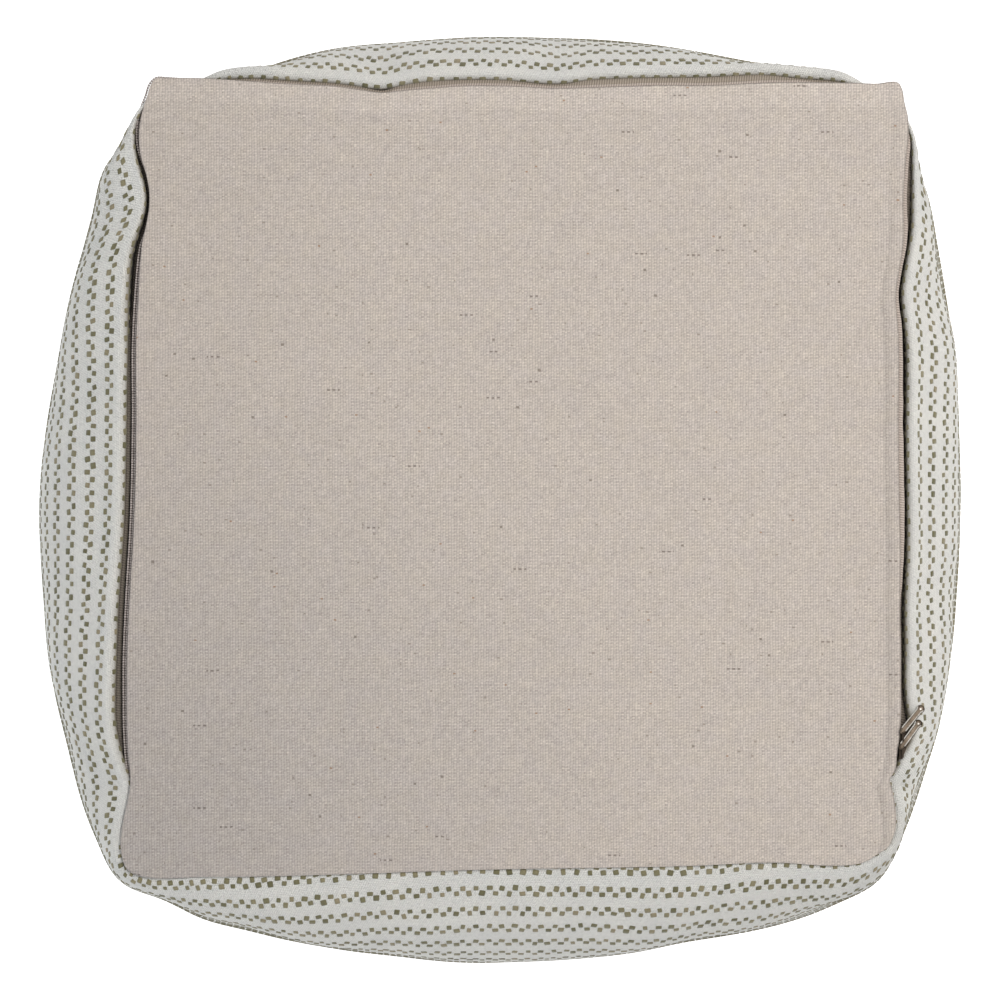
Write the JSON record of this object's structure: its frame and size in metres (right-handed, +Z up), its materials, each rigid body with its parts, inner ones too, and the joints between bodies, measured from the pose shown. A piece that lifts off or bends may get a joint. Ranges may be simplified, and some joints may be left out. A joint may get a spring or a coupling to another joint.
{
  "type": "cube pouf stool",
  "caption": "Soft filled cube pouf lying upside down on its seat, with a block-striped cloth cover and a square canvas base edged by a fine coil zip.",
  "frame": {"origin": "on the floor, under the middle of the pouf as it lies on its seat", "axes": "+Z up, out of the canvas base; -Y towards the side where the base is sewn straight to the cover; the zip runs round the +X, +Y and -X sides"},
  "size_m": [0.5769, 0.577, 0.4491],
  "materials": {
    "striped_cloth": "off-white ribbed cloth with rows of small olive blocks",
    "canvas": "oatmeal plain-weave canvas with small dark flecks",
    "tape": "taupe woven zip tape",
    "coil": "taupe nylon coil",
    "zip_metal": "warm nickel plate"
  },
  "bodies": {
    "root": {"filled_cover": "striped_cloth", "base_panel": "canvas", "zip_tape": "tape", "zip_chain": "coil", "zip_slider_1": "zip_metal", "zip_slider_2": "zip_metal", "zip_pull_1": "zip_metal", "zip_pull_2": "zip_metal"}
  },
  "joints": []
}
